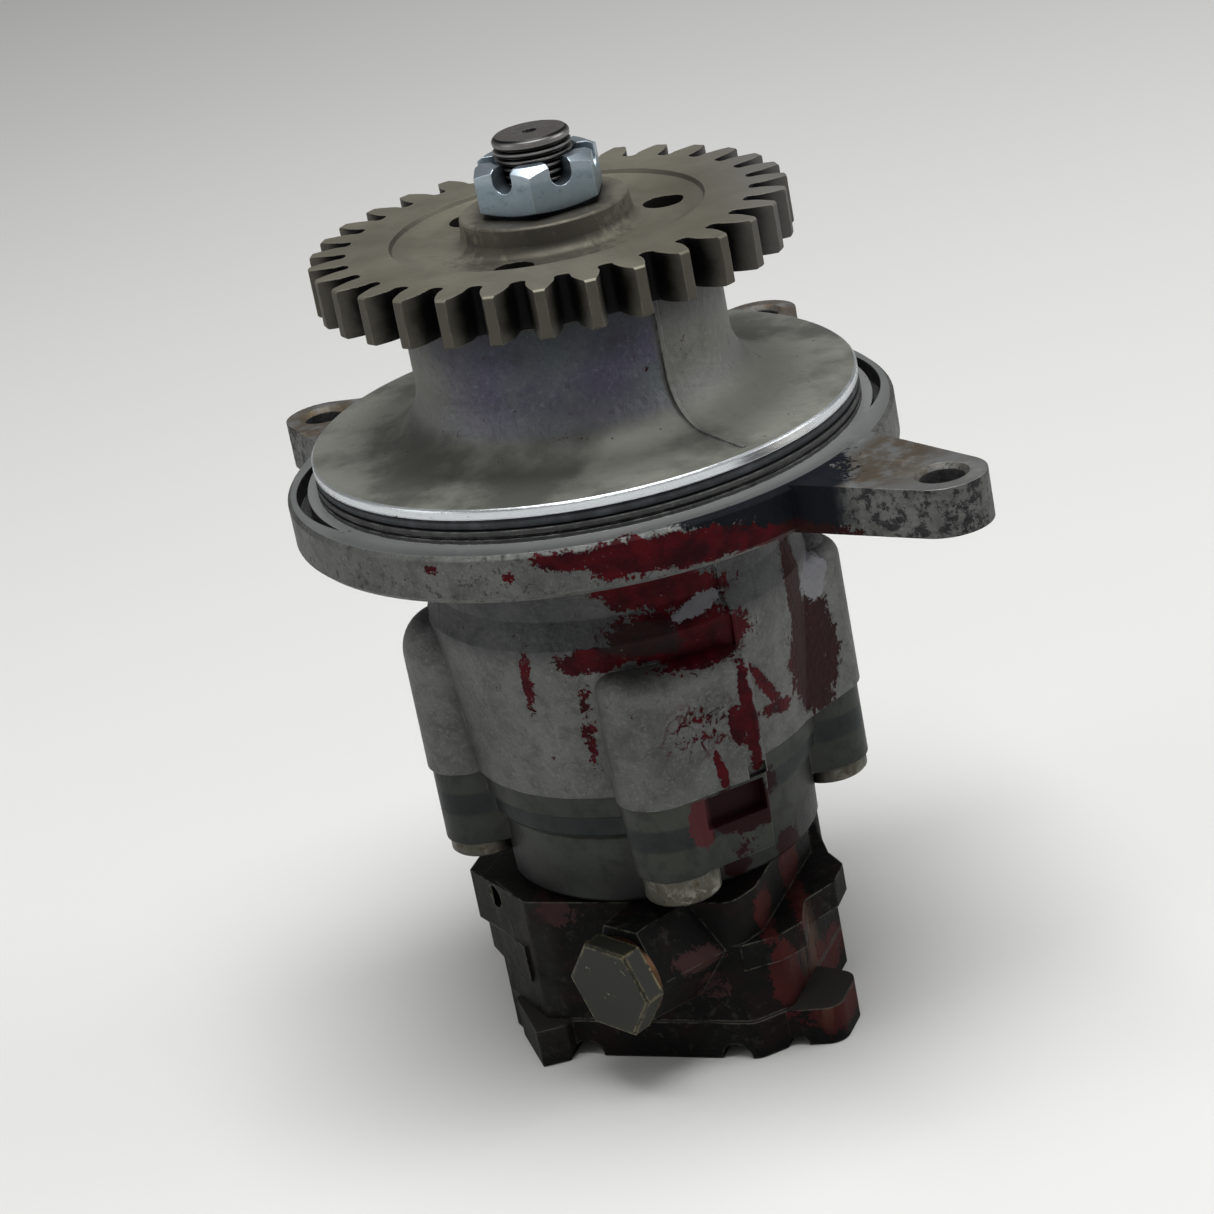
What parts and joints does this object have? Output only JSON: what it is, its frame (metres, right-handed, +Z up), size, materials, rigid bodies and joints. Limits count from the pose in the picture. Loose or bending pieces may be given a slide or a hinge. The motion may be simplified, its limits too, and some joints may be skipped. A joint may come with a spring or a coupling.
{
  "type": "hydraulic gear pump",
  "caption": "Flange-mounted tandem hydraulic gear pump driven by a spur timing gear, with an internal gear stage in aluminium and an external gear stage in cast iron.",
  "frame": {"origin": "centre of the pilot spigot in the plane of the flange's seat", "axes": "+Z up the shaft towards the timing gear; one bolt lobe on each of +X, -X, +Y and -Y"},
  "size_m": [0.1356, 0.1411, 0.1956],
  "materials": {
    "cast_aluminium": "rough sand casting, worn",
    "dark_aluminium": "die casting, oily",
    "painted_iron": "black paint over iron, with worn red paint",
    "gear_steel": "hobbed, dull",
    "zinc_steel": "zinc plated",
    "machined_steel": "turned and ground",
    "bearing_steel": "polished",
    "black_rubber": "matt",
    "bronze": "plain bearing bronze",
    "brass_cage": "machined",
    "gasket_paper": "pressed fibre sheet",
    "copper": "annealed",
    "plug_brass": "dark olive coating worn to yellow metal at the edges",
    "plate_aluminium": "ground"
  },
  "bodies": {
    "housing": {"front_housing": "cast_aluminium", "pilot_o_ring": "black_rubber", "bearing_outer_race": "bearing_steel", "bearing_circlip": "machined_steel", "shaft_seal": "black_rubber", "neck_bush": "bronze", "front_port_plate": "plate_aluminium", "eccentric_ring": "machined_steel", "rear_port_plate": "plate_aluminium", "stack_dowels": "bearing_steel", "rear_cover": "dark_aluminium", "cover_o_ring": "black_rubber", "cover_bolts": "machined_steel", "cover_bush": "bronze", "interstage_seal": "black_rubber", "rear_pump_body": "painted_iron", "joint_o_ring": "black_rubber", "upper_bearing_block": "bronze", "lower_bearing_block": "bronze", "end_cover_gasket": "gasket_paper", "end_cover": "painted_iron", "rear_pump_screws": "machined_steel", "end_cover_screws": "machined_steel", "relief_plug": "plug_brass", "relief_washer": "copper", "relief_spring": "bearing_steel"},
    "shaft": {"drive_shaft": "machined_steel", "gear_key": "machined_steel", "drive_gear": "gear_steel", "castle_nut": "zinc_steel", "bearing_inner_race": "bearing_steel", "inner_rotor": "bearing_steel", "rotor_key": "machined_steel", "coupling_sleeve": "machined_steel", "rear_drive_gear": "bearing_steel"},
    "ball_cage": {"bearing_balls": "bearing_steel", "bearing_cage": "brass_cage"},
    "rotor_ring": {"outer_rotor": "bearing_steel"},
    "idler": {"rear_idler_gear": "bearing_steel"},
    "poppet": {"relief_poppet": "bearing_steel"}
  },
  "joints": [
    {"name": "shaft_spin", "type": "hinge", "parent": "housing", "child": "shaft", "pos_m": [0, 0, 0], "axis": [0, 0, 1], "continuous": true},
    {"name": "cage_spin", "type": "hinge", "parent": "housing", "child": "ball_cage", "pos_m": [0, 0, 0], "axis": [0, 0, 1], "continuous": true},
    {"name": "rotor_ring_spin", "type": "hinge", "parent": "housing", "child": "rotor_ring", "pos_m": [0, -0.0022, -0.045], "axis": [0, 0, 1], "continuous": true},
    {"name": "idler_spin", "type": "hinge", "parent": "housing", "child": "idler", "pos_m": [0.01096, 0.02247, -0.11], "axis": [0, 0, 1], "continuous": true},
    {"name": "relief_poppet_slide", "type": "slide", "parent": "housing", "child": "poppet", "axis": [-0.7431, -0.6691, 0], "range_m": [0, 0.002], "stiffness_N_per_m": 3000, "springref_m": -0.003, "deforming": ["relief_spring"]}
  ],
  "couplings": [
    {"joint": "cage_spin", "follows": "shaft_spin", "ratio": 0.39688},
    {"joint": "rotor_ring_spin", "follows": "shaft_spin", "ratio": 0.85714},
    {"joint": "idler_spin", "follows": "shaft_spin", "ratio": -1}
  ]
}
